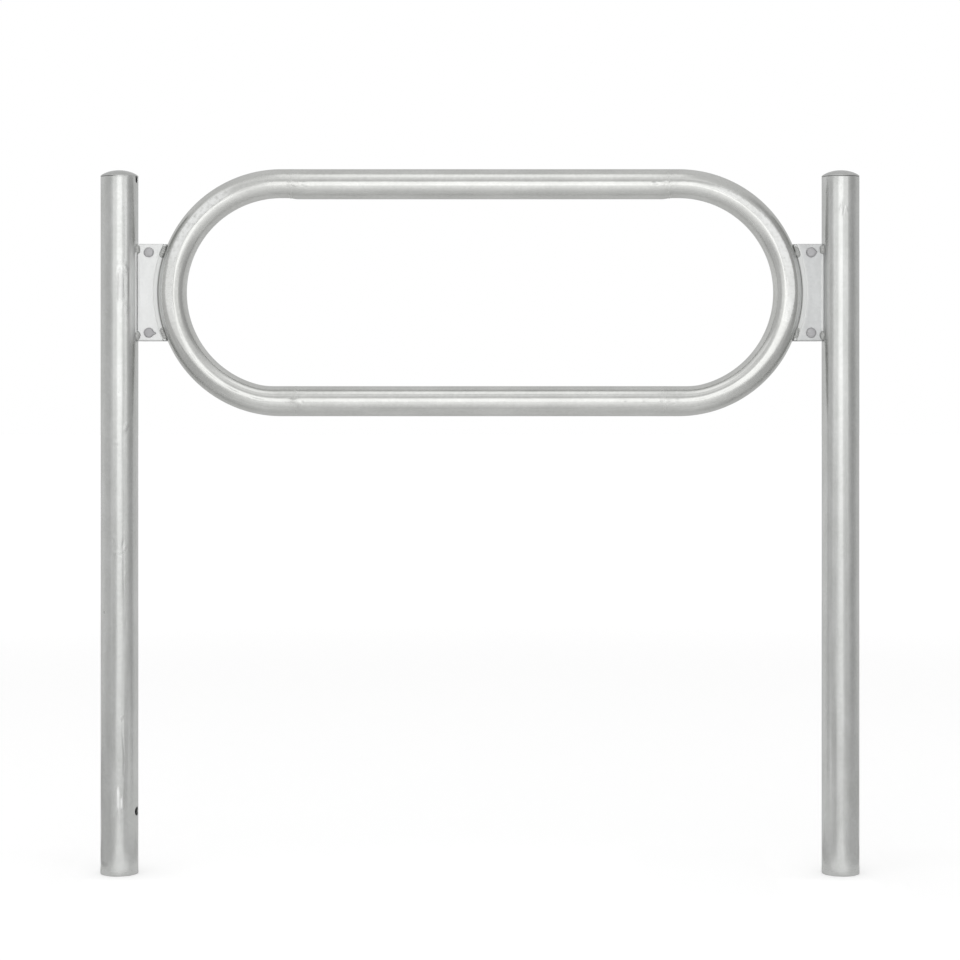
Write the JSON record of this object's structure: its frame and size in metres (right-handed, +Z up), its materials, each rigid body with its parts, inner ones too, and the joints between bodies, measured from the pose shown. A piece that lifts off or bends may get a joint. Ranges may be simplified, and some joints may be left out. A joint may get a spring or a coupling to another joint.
{
  "type": "bike rack",
  "caption": "Hoop bike rack: an oval tube hoop bolted between round posts with dished caps, in hot-dip galvanised steel.",
  "frame": {"origin": "on the ground line, midway between the feet of the posts", "axes": "+X along the hoop from the left post to the right post, +Y towards the back, +Z up"},
  "size_m": [1.2102, 0.0604, 1.1228],
  "materials": {
    "post_zinc": "hot-dip galvanised",
    "hoop_zinc": "hot-dip galvanised",
    "plate_zinc": "hot-dip galvanised",
    "fastener_zinc": "zinc coated",
    "weld_zinc": "hot-dip galvanised weld"
  },
  "bodies": {
    "root": {"left_post": "post_zinc", "left_post_cap": "post_zinc", "right_post": "post_zinc", "right_post_cap": "post_zinc", "hoop_top_rail": "hoop_zinc", "hoop_bottom_rail": "hoop_zinc", "hoop_left_bend": "hoop_zinc", "left_post_lug": "plate_zinc", "left_hoop_lug": "plate_zinc", "hoop_top_left_weld": "weld_zinc", "hoop_bottom_left_weld": "weld_zinc", "left_upper_post_weld": "weld_zinc", "left_upper_hoop_weld": "weld_zinc", "left_upper_bolt": "fastener_zinc", "left_upper_washer": "fastener_zinc", "left_upper_nut": "fastener_zinc", "left_lower_post_weld": "weld_zinc", "left_lower_hoop_weld": "weld_zinc", "left_lower_bolt": "fastener_zinc", "left_lower_washer": "fastener_zinc", "left_lower_nut": "fastener_zinc", "hoop_right_bend": "hoop_zinc", "right_post_lug": "plate_zinc", "right_hoop_lug": "plate_zinc", "hoop_top_right_weld": "weld_zinc", "hoop_bottom_right_weld": "weld_zinc", "right_upper_post_weld": "weld_zinc", "right_upper_hoop_weld": "weld_zinc", "right_upper_bolt": "fastener_zinc", "right_upper_washer": "fastener_zinc", "right_upper_nut": "fastener_zinc", "right_lower_post_weld": "weld_zinc", "right_lower_hoop_weld": "weld_zinc", "right_lower_bolt": "fastener_zinc", "right_lower_washer": "fastener_zinc", "right_lower_nut": "fastener_zinc"}
  },
  "joints": []
}
